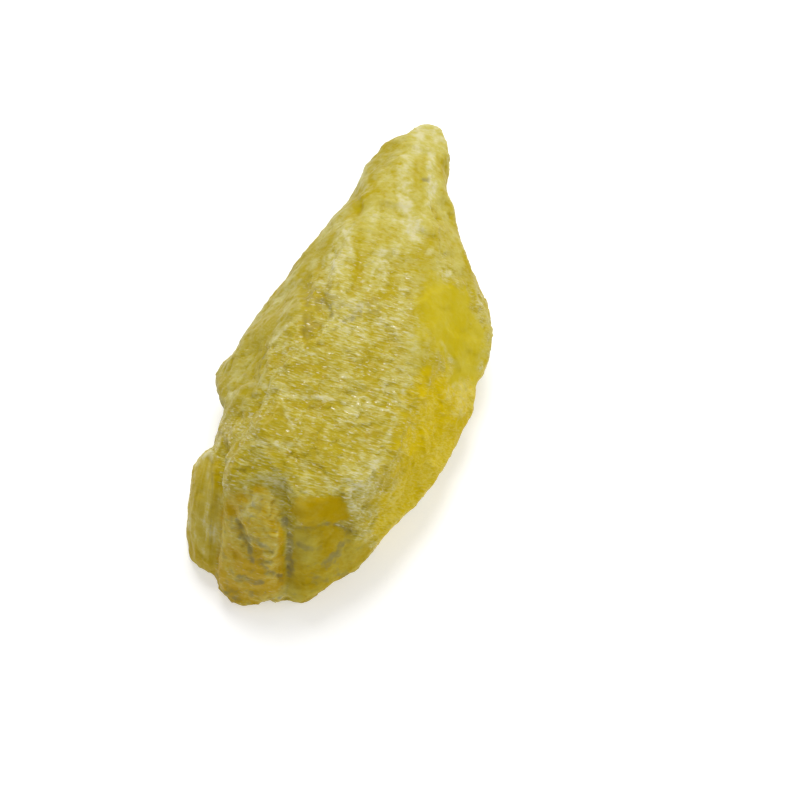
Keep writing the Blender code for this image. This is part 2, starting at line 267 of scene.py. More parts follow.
# Marks on the lump, in millimetres across and up from the middle of the line of sight.
# An area is its corners and how softly it ends. A stroke is its route, half width and strength.
# A dent is its route, half width and depth in millimetres.
# The window, the flank, the toe and the amber patch above it are clear. The left and the shoulder are dull.
# Frost is bruised white, a band a pale vein, a veil a faint haze, and gold lets the clear body show.
# Where it is calm, the satin fades. Worn seams and ridges are rounded.
AREAS = {
    "window": ([(4.8, 19.9), (7.6, 19.2), (11.3, 17.9), (11.8, 14.2), (13.9, 11.3), (14.2, 7.8),
        (13.2, 3.2), (8.1, 2.6), (7.3, 6.5), (6.1, 8.7), (3.4, 10.0), (3.2, 16.1)], 2.6),
    "flank": ([(16.1, 5.5), (13.6, -4.0), (10.0, -11.3), (7.4, -16.1), (1.3, -21.6), (-3.6, -25.2),
        (-4.8, -20.0), (-1.6, -13.6), (-0.3, -7.1), (1.3, -2.4), (2.9, 2.9), (8.1, 5.8)], 4.8),
    "left": ([(1.1, 42.6), (-3.2, 42.3), (-7.3, 37.1), (-12.9, 27.8), (-17.0, 22.9), (-25.8, 11.3),
        (-26.5, 7.8), (-22.3, 7.8), (-19.1, 11.6), (-16.1, 14.2), (-15.7, 18.6), (-12.1, 22.3),
        (-10.0, 27.1), (-5.7, 33.9), (-0.8, 39.1)], 0.8),
    "shoulder": ([(-25.8, 8.1), (-30.2, 4.5), (-30.2, 1.3), (-28.4, -1.8), (-24.2, -0.2), (-21.3, 2.9),
        (-21.3, 7.8)], 0.6),
    "slab": ([(-33.9, -10.0), (-31.2, -7.8), (-29.2, -9.4), (-28.7, -16.1), (-29.2, -23.4),
        (-29.9, -29.1), (-34.7, -26.2), (-35.0, -12.9)], 0.4),
    "foot": ([(-29.2, -19.4), (-27.8, -15.2), (-22.3, -13.9), (-19.9, -15.3), (-18.7, -21.0),
        (-18.1, -33.4), (-27.8, -33.4), (-30.0, -28.7)], 1.1),
    "toe": ([(-17.4, -20.7), (-12.1, -20.0), (-7.8, -21.3), (-5.8, -22.9), (-3.6, -24.2), (-5.5, -27.5),
        (-10.0, -29.9), (-14.9, -33.3), (-18.7, -33.3), (-18.4, -27.5)], 1.0),
    "amber": ([(-16.5, -16.1), (-12.9, -15.8), (-9.7, -15.5), (-8.9, -17.3), (-8.2, -19.4),
        (-11.9, -19.5), (-14.2, -20.3), (-16.1, -19.7), (-17.4, -17.9)], 0.6),
}
STROKES = {
    "frost": [
        ([(2.9, 43.9), (4.5, 44.4), (5.8, 43.3), (6.5, 41.7)], 1.5, 0.5),
        ([(2.9, 40.7), (4.8, 40.2), (6.6, 40.0)], 1.1, 0.3),
        ([(-0.3, 34.6), (0.0, 33.3)], 0.8, 0.9),
        ([(0.8, 39.1), (0.8, 31.0)], 1.3, 0.85),
        ([(-6.5, 36.8), (-5.5, 34.2)], 1.1, 0.5),
        ([(5.0, 39.6), (5.0, 31.8)], 0.8, 0.65),
        ([(-2.3, 30.0), (0.3, 28.1), (2.9, 28.7)], 1.6, 0.4),
        ([(-3.9, 22.3), (-3.2, 19.4)], 1.3, 0.6),
        ([(-0.5, 25.2), (-0.5, 23.6)], 1.0, 0.5),
        ([(-8.9, 26.8), (-8.1, 23.6)], 1.3, 0.8),
        ([(-1.3, 35.5), (-1.9, 31.0)], 1.1, 0.3),
        ([(-2.7, 30.0), (-1.9, 29.2), (0.3, 28.7)], 0.6, 0.6),
        ([(1.3, 27.8), (2.3, 26.5), (2.7, 25.8)], 0.8, 0.8),
        ([(5.2, 35.5), (4.8, 31.5)], 0.8, 0.4),
        ([(-8.7, 27.1), (-9.4, 24.2), (-10.7, 22.3), (-11.0, 21.3)], 1.8, 0.65),
        ([(-12.6, 18.7)], 1.0, 0.5),
        ([(-3.2, 23.4), (-2.6, 21.0), (-3.2, 18.6)], 1.3, 0.6),
        ([(-2.4, 15.5)], 0.8, 0.8),
        ([(-3.6, 12.6)], 0.8, 0.6),
        ([(-8.1, 16.1), (-6.3, 14.9)], 1.1, 0.45),
        ([(4.8, 23.9)], 0.6, 0.7),
        ([(7.8, 20.3)], 0.6, 0.6),
        ([(3.2, 19.4)], 0.6, 0.4),
        ([(13.2, 16.5), (14.2, 12.6)], 0.8, 0.35),
        ([(12.6, 5.7), (13.6, 8.1)], 0.6, 0.4),
        ([(2.4, 8.1), (4.5, 7.4)], 0.8, 0.2),
        ([(6.6, 9.4), (8.4, 6.1)], 0.4, 0.5),
        ([(0.6, 2.4), (0.6, -1.3)], 0.5, 0.5),
        ([(-0.3, -1.9), (-1.1, -4.0), (-2.1, -6.5)], 0.6, 0.6),
        ([(-2.6, 3.2), (-2.3, 1.3)], 0.6, 0.6),
        ([(-5.2, -0.6), (-3.2, -2.4)], 0.6, 0.4),
        ([(-4.2, -10.7), (-3.1, -9.7)], 1.0, 0.4),
        ([(-3.7, -17.8)], 0.8, 0.5),
        ([(-8.7, -12.9), (-7.9, -16.1), (-7.1, -18.9)], 0.8, 0.4),
        ([(-11.9, -12.9), (-10.3, -14.9)], 0.8, 0.6),
        ([(-27.5, -3.6), (-25.7, -5.2)], 1.1, 0.1),
        ([(-27.8, -9.7)], 0.8, 0.6),
        ([(-32.9, -10.2), (-31.2, -8.2), (-30.0, -9.7)], 0.6, 0.8),
        ([(-23.3, -16.1), (-25.0, -18.4)], 1.1, 0.5),
        ([(-15.3, -10.5)], 0.8, 0.4),
        ([(8.1, 1.3), (10.3, 2.3), (9.7, -1.9)], 1.3, 0.8),
        ([(-3.2, 36.2), (-1.9, 36.8)], 1.5, 0.4),
        ([(-24.9, -25.0), (-23.9, -22.9)], 0.8, 0.3),
        ([(-11.1, -25.4)], 0.6, 0.5),
    ],
    "band": [
        ([(-22.0, 2.3), (-19.4, 1.6), (-17.6, 0.5), (-11.0, 0.3)], 0.5, 0.9),
        ([(-18.9, -0.3), (-17.8, -3.2), (-16.6, -6.6)], 0.3, 0.8),
        ([(-23.4, -6.6), (-21.0, -7.4), (-18.6, -7.6), (-16.3, -6.9)], 0.7, 0.7),
        ([(-11.0, 22.9), (-13.6, 22.3), (-15.5, 20.3), (-17.8, 17.8), (-20.0, 15.8)], 0.6, 0.6),
        ([(-16.1, 13.6), (-18.6, 11.6), (-21.3, 8.9)], 0.5, 0.5),
        ([(-22.3, 2.7), (-24.9, 2.3), (-27.1, 0.8)], 0.5, 0.6),
        ([(-26.5, -22.6), (-23.9, -22.3), (-21.3, -23.9)], 0.3, 0.35),
    ],
    "veil": [
        ([(2.3, 37.5), (0.0, 30.7), (-3.2, 22.3)], 6.5, 0.9),
        ([(1.9, 11.3), (2.9, 17.8), (6.8, 23.9)], 4.2, 0.6),
        ([(-1.0, -8.4), (-2.6, -16.1)], 2.6, 0.9),
        ([(8.4, 4.5), (11.3, 0.0)], 1.6, 0.8),
        ([(4.8, 8.9), (6.5, 4.0)], 1.6, 0.7),
        ([(9.7, 5.5), (12.9, 4.2)], 1.5, 0.8),
        ([(8.6, 25.8), (10.0, 21.3), (11.9, 17.8)], 1.3, 1),
        ([(-7.4, -13.2), (-5.2, -19.4)], 1.9, 0.8),
    ],
    "calm": [
        ([(-27.8, -16.1), (-28.3, -22.6), (-28.4, -29.1)], 1.1, 1),
        ([(-18.9, -21.0), (-18.7, -30.7)], 0.8, 1),
        ([(-24.2, -30.7), (-16.1, -31.0)], 1.3, 0.6),
        ([(6.8, 38.8), (7.8, 32.3), (8.7, 25.8), (11.3, 19.4)], 2.4, 1),
        ([(13.9, 17.4), (14.9, 10.5)], 1.3, 0.8),
        ([(4.8, 28.3), (6.5, 22.3)], 1.9, 0.6),
        ([(-2.4, 40.4), (-4.0, 33.9), (-4.8, 29.1)], 1.9, 0.6),
        ([(3.9, 21.0), (4.5, 12.9), (3.9, 7.8)], 2.7, 0.9),
        ([(5.2, 43.9), (2.9, 40.4), (0.3, 33.1)], 4.8, 0.85),
        ([(2.4, 8.1), (4.5, 5.2)], 2.6, 0.8),
    ],
    "gold": [
        ([(-12.3, 21.6), (-13.2, 20.0)], 1.6, 0.9),
        ([(-15.2, 20.2), (-14.9, 14.5), (-15.0, 10.3)], 1.8, 1),
        ([(-7.3, 26.2), (-6.5, 21.0), (-6.8, 18.9)], 0.8, 0.6),
        ([(-6.8, 32.3), (-6.8, 30.7)], 1.0, 0.4),
        ([(-5.5, 34.6), (-6.5, 28.7)], 1.9, 0.15),
        ([(-2.6, 32.9), (-2.6, 30.4)], 1.5, 0.55),
        ([(-17.8, 16.8), (-17.1, 11.9)], 2.1, 0.6),
        ([(-13.4, 17.8), (-13.2, 11.9)], 1.5, 0.7),
        ([(-33.9, -21.8), (-33.1, -25.5), (-31.3, -27.5)], 1.3, 0.7),
        ([(-22.1, -17.0), (-20.7, -20.2)], 1.3, 0.5),
        ([(-28.7, -12.6), (-27.1, -16.1), (-27.8, -18.6)], 1.5, 0.3),
        ([(1.3, 43.9), (0.0, 42.3)], 1.1, 0.4),
        ([(-22.6, -29.7), (-20.0, -30.7)], 1.3, 0.5),
        ([(-21.3, 1.3), (-17.8, -1.9)], 1.6, 0.35),
        ([(-1.6, 41.0), (1.0, 41.7), (0.6, 39.4)], 1.5, 0.5),
        ([(-22.3, -3.2), (-17.0, -4.5)], 1.9, 0.55),
        ([(-25.8, -2.4), (-20.2, -8.9)], 2.6, 0.35),
        ([(6.9, 38.4), (7.3, 33.9), (8.2, 30.0)], 1.0, 0.6),
        ([(-19.7, 6.5), (-16.1, 4.8), (-12.6, 4.5)], 1.3, 0.6),
        ([(-16.8, -0.5), (-11.0, -1.0)], 0.8, 0.7),
        ([(-22.9, -0.5), (-23.4, -4.8)], 1.1, 0.6),
        ([(-28.1, -11.6), (-24.2, -11.3), (-21.0, -10.3)], 1.1, 0.7),
        ([(-28.1, -14.5)], 1.0, 0.6),
        ([(-22.9, -14.0), (-20.0, -14.5)], 1.0, 0.7),
        ([(-5.2, 7.3), (-4.4, 2.3)], 1.1, 0.5),
        ([(-26.5, 2.3), (-24.5, 1.3), (-22.9, 2.3)], 1.0, 0.7),
        ([(-28.7, 3.2), (-28.6, 1.3)], 1.0, 0.5),
        ([(-28.1, -19.4), (-26.5, -20.7), (-27.8, -25.8)], 1.0, 0.25),
        ([(-19.1, -21.0), (-19.2, -29.4)], 0.6, 0.9),
        ([(4.2, 18.6), (4.8, 8.9)], 1.6, 0.15),
        ([(-27.1, -7.3), (-26.8, -12.6)], 1.3, 0.5),
        ([(-24.2, -26.6), (-22.3, -27.8)], 1.0, 0.6),
        ([(-11.8, -22.6), (-11.9, -24.5)], 1.3, 0.35),
        ([(-32.3, -21.8), (-31.0, -22.9)], 1.0, 0.5),
    ],
    # Grime is grey-green dirt in clefts and specks; the two upright strokes down the recess on the upper left
    # paint shade there.
    "grime": [
        ([(-12.3, 16.5), (-8.9, 14.2), (-4.2, 14.9)], 2.1, 0.5),
        # This stroke and the next paint shade down the recess on the upper left.
        ([(-15.0, 19.4), (-14.9, 10.7)], 1.3, 0.5),
        ([(-13.2, 17.8), (-13.2, 12.6)], 1.1, 0.45),
        ([(-20.0, -14.5), (-19.2, -16.6)], 0.6, 0.3),
        ([(-18.4, -19.4), (-17.8, -23.4), (-17.8, -28.3)], 0.8, 0.95),
        ([(-21.6, -16.1), (-19.9, -19.4)], 0.6, 0.4),
        ([(-17.4, -20.7), (-14.5, -20.8), (-12.1, -19.9), (-9.7, -20.2), (-8.4, -21.2),
            (-7.1, -21.3)], 0.4, 0.7),
        ([(-26.2, -19.4), (-25.4, -21.8), (-24.2, -23.9), (-23.9, -26.2)], 0.6, 1),
        ([(-25.7, -22.1), (-23.3, -22.6), (-21.3, -24.2)], 0.6, 0.9),
        ([(-22.9, -25.8), (-21.3, -27.8), (-19.2, -28.4)], 0.6, 0.9),
        ([(-26.2, -28.7), (-22.3, -29.4)], 0.6, 0.9),
        ([(-28.6, -10.0), (-28.7, -16.1), (-29.2, -22.6), (-29.9, -27.8)], 0.4, 0.25),
        ([(-12.3, 15.8), (-11.1, 13.6)], 0.8, 1),
        ([(-9.0, 12.9), (-7.3, 13.2)], 0.6, 1),
        ([(-13.2, 14.5), (-12.6, 12.6)], 0.6, 0.5),
        ([(-6.3, 14.2)], 0.5, 0.8),
        ([(-30.4, -9.4), (-30.4, -16.1), (-30.7, -23.4)], 0.3, 0.5),
        ([(-3.2, 14.7)], 0.6, 0.9),
        ([(-5.8, 21.6), (-3.9, 22.4)], 0.4, 0.5),
        ([(-1.6, 22.9)], 0.5, 0.5),
        ([(3.4, 35.5), (4.4, 35.5)], 0.5, 0.9),
        ([(-22.0, 9.8), (-21.3, 8.9)], 0.4, 0.35),
        ([(-21.8, 7.8), (-22.1, 6.8)], 0.4, 0.9),
        ([(-25.0, 4.2)], 0.5, 0.6),
        ([(-24.2, 0.5), (-22.6, 0.6)], 0.4, 0.5),
        ([(-12.9, 17.1)], 0.5, 0.5),
        ([(-14.0, 10.7)], 0.4, 0.5),
        ([(-10.7, -24.9), (-12.3, -27.0)], 0.7, 1),
        ([(-9.4, -23.1), (-10.3, -26.2)], 0.6, 0.9),
        ([(-16.5, -23.4), (-14.4, -24.1)], 0.7, 0.8),
        ([(-14.2, -28.3), (-11.9, -29.1)], 0.6, 0.6),
        ([(-28.1, -31.3), (-26.2, -32.1)], 0.8, 1),
        ([(-24.2, -31.3)], 0.7, 0.9),
        ([(-10.3, -27.8), (-8.7, -28.3)], 0.8, 0.7),
        ([(-3.7, -18.7)], 0.6, 0.3),
        ([(-5.2, 4.5)], 0.6, 0.35),
        ([(-28.1, -17.4)], 0.6, 0.4),
        ([(-1.9, 31.3), (0.0, 31.6)], 0.6, 0.3),
    ],
}
WORN = [
    ([(-28.9, -8.4), (-28.7, -16.1), (-29.2, -23.4), (-30.0, -28.7)], 1.0, 1),
    ([(4.8, 6.1), (1.3, 1.9), (-0.3, -3.2), (-2.3, -8.1), (-3.2, -12.9), (-4.5, -19.4)], 2.6, 1),
]
DENTS = [
    ([(-15.3, 18.4), (-14.9, 14.5), (-14.9, 10.7)], 1.0, 0.45),
    ([(-12.6, 21.3)], 1.3, 0.3),
    ([(-6.8, 32.3), (-6.8, 30.7)], 0.8, 0.35),
    ([(-21.8, 8.1), (-22.0, 6.8)], 0.5, 0.12),
    ([(-24.2, 0.5), (-22.3, 0.6), (-21.3, 2.3)], 0.5, 0.35),
    ([(-20.0, -14.0), (-19.2, -16.6), (-18.4, -19.4), (-17.6, -23.4), (-17.9, -28.7)], 1.0, 0.15),
    ([(-17.4, -20.7), (-14.5, -20.8), (-12.1, -19.9), (-9.7, -20.2), (-8.4, -21.2),
        (-7.1, -21.3)], 0.5, 0.15),
    ([(-26.2, -19.4), (-25.4, -21.8), (-24.2, -23.9), (-23.9, -26.2)], 0.5, 0.2),
    ([(-11.9, 15.5), (-11.1, 13.7)], 0.5, 0.25),
    ([(-9.0, 12.9), (-7.3, 13.2)], 0.4, 0.2),
    ([(-3.2, 14.7)], 0.4, 0.15),
    ([(3.6, 35.5), (4.4, 35.5)], 0.5, 0.2),
    ([(-22.9, -25.8), (-21.3, -27.8), (-19.2, -28.4)], 0.3, 0.2),
]


class SulfurSizes(bpy.types.PropertyGroup):
    """How finely the lump is made, and how deep its relief is."""

    grain: FloatProperty(
        name="Surface grain", description="Distance between the points of the fine surface",
        default=0.345 * MM, min=0.2 * MM, subtype="DISTANCE", unit="LENGTH",
    )
    lamella_length: FloatProperty(
        name="Lamella length", description="How far one satin lamella runs across the lump",
        default=2.6 * MM, subtype="DISTANCE", unit="LENGTH",
    )
    lamella_width: FloatProperty(
        name="Lamella width", description="Distance from one lamella to the next",
        default=1.0 * MM, subtype="DISTANCE", unit="LENGTH",
    )
    lamella_depth: FloatProperty(
        name="Lamella depth", description="Height of the steps between lamellae",
        default=0.08 * MM, subtype="DISTANCE", unit="LENGTH",
    )
    furrow_depth: FloatProperty(
        name="Slab furrows", description="Depth of the upright furrows in the slab beside the foot",
        default=0.1 * MM, subtype="DISTANCE", unit="LENGTH",
    )
    chip_size: FloatProperty(
        name="Chip size", description="Size of the small fracture facets",
        default=2.2 * MM, subtype="DISTANCE", unit="LENGTH",
    )
    seed: IntProperty(name="Seed", description="Start of every random draw", default=11, min=0)


def colour_property(name, description, red, green, blue):
    return FloatVectorProperty(
        name=name, description=description, default=(red, green, blue),
        size=3, min=0.0, max=1.0, subtype="COLOR",
    )


class SulfurColours(bpy.types.PropertyGroup):
    """The lump's colours, as linear values: for each part of it, between its lamellae and on them. The pale
    on the lamellae is partly painted sheen, frost also paints glints and the whitest lamellae as highlights,
    and grime also paints shade down a recess.
    """

    gold: colour_property("Gold", "Body between the lamellae", 0.40, 0.305, 0.0)
    ember: colour_property("Ember", "Deeper spots in the body", 0.385, 0.28, 0.0)
    # Lemon is the lamellae's own pale colour together with painted sheen, where lamellae turned up to the
    # light shine.
    lemon_and_sheen: colour_property("Lemon", "Lamellae that turn up to the light", 0.50, 0.44, 0.105)
    # Frost is the real white bloom; the same colour also paints the glints and the whitest lamellae as
    # highlights.
    frost: colour_property("Frost", "Bruised and powdery places, such as the tip", 0.585, 0.535, 0.285)
    window: colour_property("Window", "Clear smooth facet on the right", 0.48, 0.375, 0.008)
    window_haze: colour_property("Window haze", "Veils in the window", 0.51, 0.42, 0.04)
    flank: colour_property("Flank", "Clear lower flank on the right", 0.55, 0.40, 0.0)
    flank_haze: colour_property("Flank haze", "Veils in the clear flank", 0.62, 0.49, 0.055)
    left: colour_property("Straw", "Dull broken flank on the left", 0.37, 0.29, 0.015)
    left_haze: colour_property("Straw haze", "Bruises of the dull flank", 0.47, 0.425, 0.15)
    slab: colour_property("Slab", "Olive slab beside the foot", 0.415, 0.295, 0.0)
    slab_haze: colour_property("Slab haze", "Pale ribs of the slab", 0.50, 0.395, 0.06)
    foot: colour_property("Foot", "Broken foot", 0.475, 0.30, 0.0)
    foot_haze: colour_property("Foot haze", "Ripples of the foot", 0.525, 0.435, 0.08)
    toe: colour_property("Toe", "Smoother toe", 0.40, 0.268, 0.004)
    toe_haze: colour_property("Toe haze", "Veils in the toe", 0.45, 0.36, 0.04)
    amber: colour_property("Amber", "Deep clear patch above the toe", 0.425, 0.28, 0.002)
    amber_haze: colour_property("Amber haze", "Veils in the deep patch", 0.46, 0.345, 0.03)
    # The grime colour is dirt in the clefts, and it also paints shade down the recess on the upper left.
    grime: colour_property("Grime", "Grey-green dirt in the clefts", 0.24, 0.205, 0.075)
    floor: colour_property("Floor", "Pale ground", 0.75, 0.75, 0.75)


def read_points(mesh):
    points = np.empty(len(mesh.vertices) * 3)
    mesh.vertices.foreach_get("co", points)
    return points.reshape(-1, 3)


def read_normals(mesh):
    normals = np.empty(len(mesh.vertices) * 3)
    mesh.vertices.foreach_get("normal", normals)
    return normals.reshape(-1, 3)


def read_edges(mesh):
    edges = np.empty(len(mesh.edges) * 2, dtype=np.int64)
    mesh.edges.foreach_get("vertices", edges)
    return edges.reshape(-1, 2)


def write_points(mesh, points):
    mesh.vertices.foreach_set("co", points.ravel())
    mesh.update()


def relaxed(values, edges, rounds):
    """The values, each drawn towards the mean of its neighbours, as many times as asked."""
    count = np.bincount(edges.ravel(), minlength=len(values)).astype(float)
    values = values.copy()
    for _ in range(rounds):
        total = np.zeros_like(values)
        for axis in range(values.shape[1]):
            total[:, axis] = np.bincount(edges[:, 0], values[edges[:, 1], axis], len(values))
            total[:, axis] += np.bincount(edges[:, 1], values[edges[:, 0], axis], len(values))
        values += ROUND_SHARE * (total / count[:, None] - values)
    return values


def unit_rows(vectors):
    return vectors / np.linalg.norm(vectors, axis=1)[:, None]


def smooth_step(values, low, high):
    share = np.clip((values - low) / (high - low), 0.0, 1.0)
    return share * share * (3.0 - 2.0 * share)


def field(points, size, octaves, start=0.0):
    """Cloudy noise of about -1 to 1. The size is one length, or one for each axis."""
    scaled = points / np.array(size) + start
    return np.array([noise.fractal(Vector(point), FRACTAL_FALL, FRACTAL_GAP, octaves) for point in scaled])


def named_field(points, name):
    size, octaves, start = FIELDS[name]
    return field(points, np.array(size) * MM, octaves, start)


def in_sight(points):
    """Where each point shows in the plane across the line of sight, in millimetres."""
    away = points - np.array(SIGHT_MIDDLE)
    scale = SIGHT_LENGTH / (SIGHT_LENGTH - away @ np.array(SIGHT_BACK)) / MM
    return np.stack([away @ np.array(SIGHT_RIGHT) * scale, away @ np.array(SIGHT_UP) * scale], axis=1)


def route_distance(places, route):
    best = np.full(len(places), np.inf)
    route = [np.array(place) for place in route]
    if len(route) == 1:
        return np.linalg.norm(places - route[0], axis=1)
    for start, end in zip(route[:-1], route[1:]):
        share = np.clip((places - start) @ (end - start) / np.sum((end - start) ** 2), 0.0, 1.0)
        best = np.minimum(best, np.linalg.norm(places - start - share[:, None] * (end - start), axis=1))
    return best


def inside(places, corners):
    """How far inside the corners' ring each place is, and how far outside as a minus."""
    odd = np.zeros(len(places), dtype=bool)
    x, y = places[:, 0], places[:, 1]
    for (x0, y0), (x1, y1) in zip(corners, corners[1:] + corners[:1]):
        spans = (y0 > y) != (y1 > y)
        if y0 != y1:
            odd ^= spans & (x < (x1 - x0) * (y - y0) / (y1 - y0) + x0)
    away = route_distance(places, corners + corners[:1])
    return np.where(odd, away, -away)


def stroke_mask(places, strokes, fray):
    """0 to 1: the strongest stroke at each place, with frayed sides."""
    mask = np.zeros(len(places))
    for route, half_width, strength in strokes:
        away = route_distance(places, route) / half_width + fray
        mask = np.maximum(mask, strength * (1.0 - smooth_step(away, *STROKE_SHARES)))
    return mask


def strongest(masks, shares):
    """At each point, the greatest of the named masks, each times its share."""
    return np.maximum.reduce([share * masks[name] for name, share in shares.items()])


def laid_masks(points, broad):
    """How strong each mark is at each point, from 0 to 1, by the way that the broad face around it looks."""
    places = in_sight(points)
    turned = broad @ np.array(SIGHT_BACK)
    shown = smooth_step(turned, *SHOWN_TURNS)
    under = smooth_step(-broad[:, 2], *UNDER_TURNS)
    wander = named_field(points, "wander")
    turned_edge = turned + AREA_WANDER * wander + AREA_EDGE_WANDER * named_field(points, "edge")
    around = smooth_step(turned_edge, *AREA_TURNS)

    fray = FRAY_REACH * named_field(points, "fray")
    masks = {name: stroke_mask(places, strokes, fray) * shown for name, strokes in STROKES.items()}
    gaps = smooth_step(named_field(points, "gaps"), *GAP_LEVELS)
    for name in BROKEN_STROKES:
        masks[name] *= BROKEN_LEAST + (1.0 - BROKEN_LEAST) * gaps
    for name, (corners, soft) in AREAS.items():
        depth = inside(places, corners) + wander * (SIDE_WANDER + SOFT_SIDE_WANDER * soft)
        masks[name] = smooth_step(depth, -0.5 * soft, 0.5 * soft) * around

    hidden = (1.0 - shown) * (1.0 - under)
    for name, (source, low, high) in FAR_MARKS.items():
        masks[name] = np.maximum(masks[name], hidden * smooth_step(named_field(points, source), low, high))
    spots = smooth_step(named_field(points, "dirt spots"), *SPOT_LEVELS)
    masks["grime"] = np.maximum(masks["grime"], spots * strongest(masks, SPOT_SHARES))

    masks["smooth"] = strongest(masks, SMOOTH_SHARES)
    masks["satin"] = (1.0 - smooth_step(places[:, 1], *SATIN_FADE_MM)) * around
    masks["satin"] *= 1.0 - strongest(masks, DULL_SHARES)
    masks["shown"] = shown
    return masks


def hewn(points, normals, size, seed):
    """Each point's way, along its normal, to the tilted plane of the small facet that it lies in."""
    chance = np.random.default_rng(seed)
    cells = np.floor(points / size).astype(np.int64)
    keys, index = np.unique(cells, axis=0, return_inverse=True)
    index = index.reshape(-1)
    count = np.bincount(index).astype(float)[:, None]
    centres = np.stack([np.bincount(index, points[:, axis]) for axis in range(3)], axis=1) / count
    facing = unit_rows(np.stack([np.bincount(index, normals[:, axis]) for axis in range(3)], axis=1) / count)
    shift = chance.normal(0.0, CELL_SCATTER * size, centres.shape)
    shift -= facing * np.sum(shift * facing, axis=1)[:, None]
    tilted = unit_rows(facing + chance.normal(0.0, CHIP_TILT, facing.shape))
    number = {tuple(key): place for place, key in enumerate(keys)}
    best = np.full(len(points), np.inf)
    moves = np.zeros(len(points))
    steps = [(x, y, z) for x in (-1, 0, 1) for y in (-1, 0, 1) for z in (-1, 0, 1)]
    for step in steps:
        near = np.array([number.get(tuple(key + step), -1) for key in keys])
        other = near[index]
        known = np.nonzero(other >= 0)[0]
        other = other[known]
        apart = points[known] - centres[other]
        turned = 1.0 - np.sum(normals[known] * facing[other], axis=1)
        cost = np.linalg.norm(apart - shift[other], axis=1) + TURN_CELLS * size * turned
        height = np.sum(apart * tilted[other], axis=1)
        taken = cost < best[known]
        best[known[taken]] = cost[taken]
        moves[known[taken]] = -np.clip(height[taken], -CHIP_REACH * MM, CHIP_REACH * MM)
    return moves


def relief(points, normals, masks, sizes):
    """How far each point moves out: by ripples, lumps, ribs, chips, ledges, furrows, marks and dents."""
    bend = np.stack([named_field(points, "bend " + axis) for axis in "xyz"], axis=1)
    along = (points + BEND_REACH * MM * bend) @ np.array(GRAIN_TURN)
    ripple_size = (sizes.lamella_length, sizes.lamella_width, RIPPLE_DEEP * sizes.lamella_width)
    ripple = field(along, ripple_size, RIPPLE_OCTAVES)
    lift = ripple * sizes.lamella_depth * (RIPPLE_LEAST + (1.0 - RIPPLE_LEAST) * masks["satin"])

    smooth = masks["smooth"]
    lift += named_field(points, "lumps") * LUMP_HEIGHT * MM * (1.0 - LUMPS_EVENED * smooth)
    lift += named_field(points, "ribs") * RIB_HEIGHT * MM * (1.0 - smooth)
    lift += hewn(points, normals, sizes.chip_size, sizes.seed) * (CHIP_SHARE - CHIPS_EVENED * smooth)

    ledges = named_field(points, "ledges")
    for name, height in LEDGE_HEIGHTS.items():
        lift += ledges * height * MM * masks[name]
    across = points @ np.array(SIGHT_RIGHT)
    upright = np.stack([across, FURROW_STRETCH[0] * points[:, 1], FURROW_STRETCH[1] * points[:, 2]], axis=1)
    lift += named_field(upright, "furrows") * sizes.furrow_depth * masks["slab"]

    for name, height in MARK_HEIGHTS.items():
        lift += height * MM * masks[name]
    places = in_sight(points)
    for route, half_width, depth in DENTS:
        away = route_distance(places, route) / half_width
        lift -= depth * MM * (1.0 - smooth_step(away, *DENT_SHARES)) * masks["shown"]
    return lift


def store(mesh, name, values):
    layer = mesh.attributes.new(name, "FLOAT", "POINT")
    layer.data.foreach_set("value", np.clip(values, 0.0, 1.0).astype(np.float32))


def fine_copy(grain):
    """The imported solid's own surface, with points an even grain apart."""
    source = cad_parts[NODE]
    piece = bpy.data.objects.new("sulfur_lump", source.data.copy())
    bpy.context.scene.collection.objects.link(piece)
    weld = bmesh.new()
    weld.from_mesh(piece.data)
    bmesh.ops.remove_doubles(weld, verts=weld.verts, dist=WELD_REACH * MM)
    weld.to_mesh(piece.data)
    weld.free()
    remesh = piece.modifiers.new("grain", "REMESH")
    remesh.mode = "VOXEL"
    remesh.voxel_size = grain
    graph = bpy.context.evaluated_depsgraph_get()
    mesh = bpy.data.meshes.new_from_object(piece.evaluated_get(graph))
    piece.modifiers.clear()
    piece.data = mesh
    mesh.name = "sulfur_lump"
    return piece


class SULFUR_OT_lump(bpy.types.Operator):
    """Builds the lump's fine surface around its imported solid, and dresses it"""

    bl_idname = "sulfur.lump"
    bl_label = "Sulfur lump"

    def execute(self, context):
        sizes = context.scene.sulfur_sizes
        piece = fine_copy(sizes.grain)
        mesh = piece.data
        edges = read_edges(mesh)
        points = relaxed(read_points(mesh), edges, SETTLE_ROUNDS)
        worn = stroke_mask(in_sight(points), WORN, 0.0)[:, None]
        points += worn * (relaxed(points, edges, WEAR_ROUNDS) - points)
        write_points(mesh, points)

        normals = read_normals(mesh)
        masks = laid_masks(points, unit_rows(relaxed(normals, edges, BROAD_ROUNDS)))
        moved = points + normals * relief(points, normals, masks, sizes)[:, None]
        resting = (normals[:, 2] < REST_TURN) & (points[:, 2] < REST_HEIGHT * MM)
        moved[resting] = points[resting]
        moved[:, 2] = np.maximum(moved[:, 2], 0.0)
        write_points(mesh, moved)

        # Ridges wear pale, and hollows are painted darker as shade: how far each point stands out of its
        # surroundings.
        around = relaxed(moved, edges, RIDGE_ROUNDS)
        proud = np.sum((moved - around) * normals, axis=1) / (RIDGE_HEIGHT * MM)
        masks["ridge"] = smooth_step(proud, *RIDGE_LEVELS)
        masks["hollow"] = smooth_step(-proud, *RIDGE_LEVELS)
        for name in PAINTED:
            store(mesh, name, masks[name])
        mesh.shade_smooth()
        mesh.materials.clear()
        mesh.materials.append(sulfur_material(context.scene.sulfur_colours))
        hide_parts(NODE)
        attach(piece, "root")
        return {"FINISHED"}


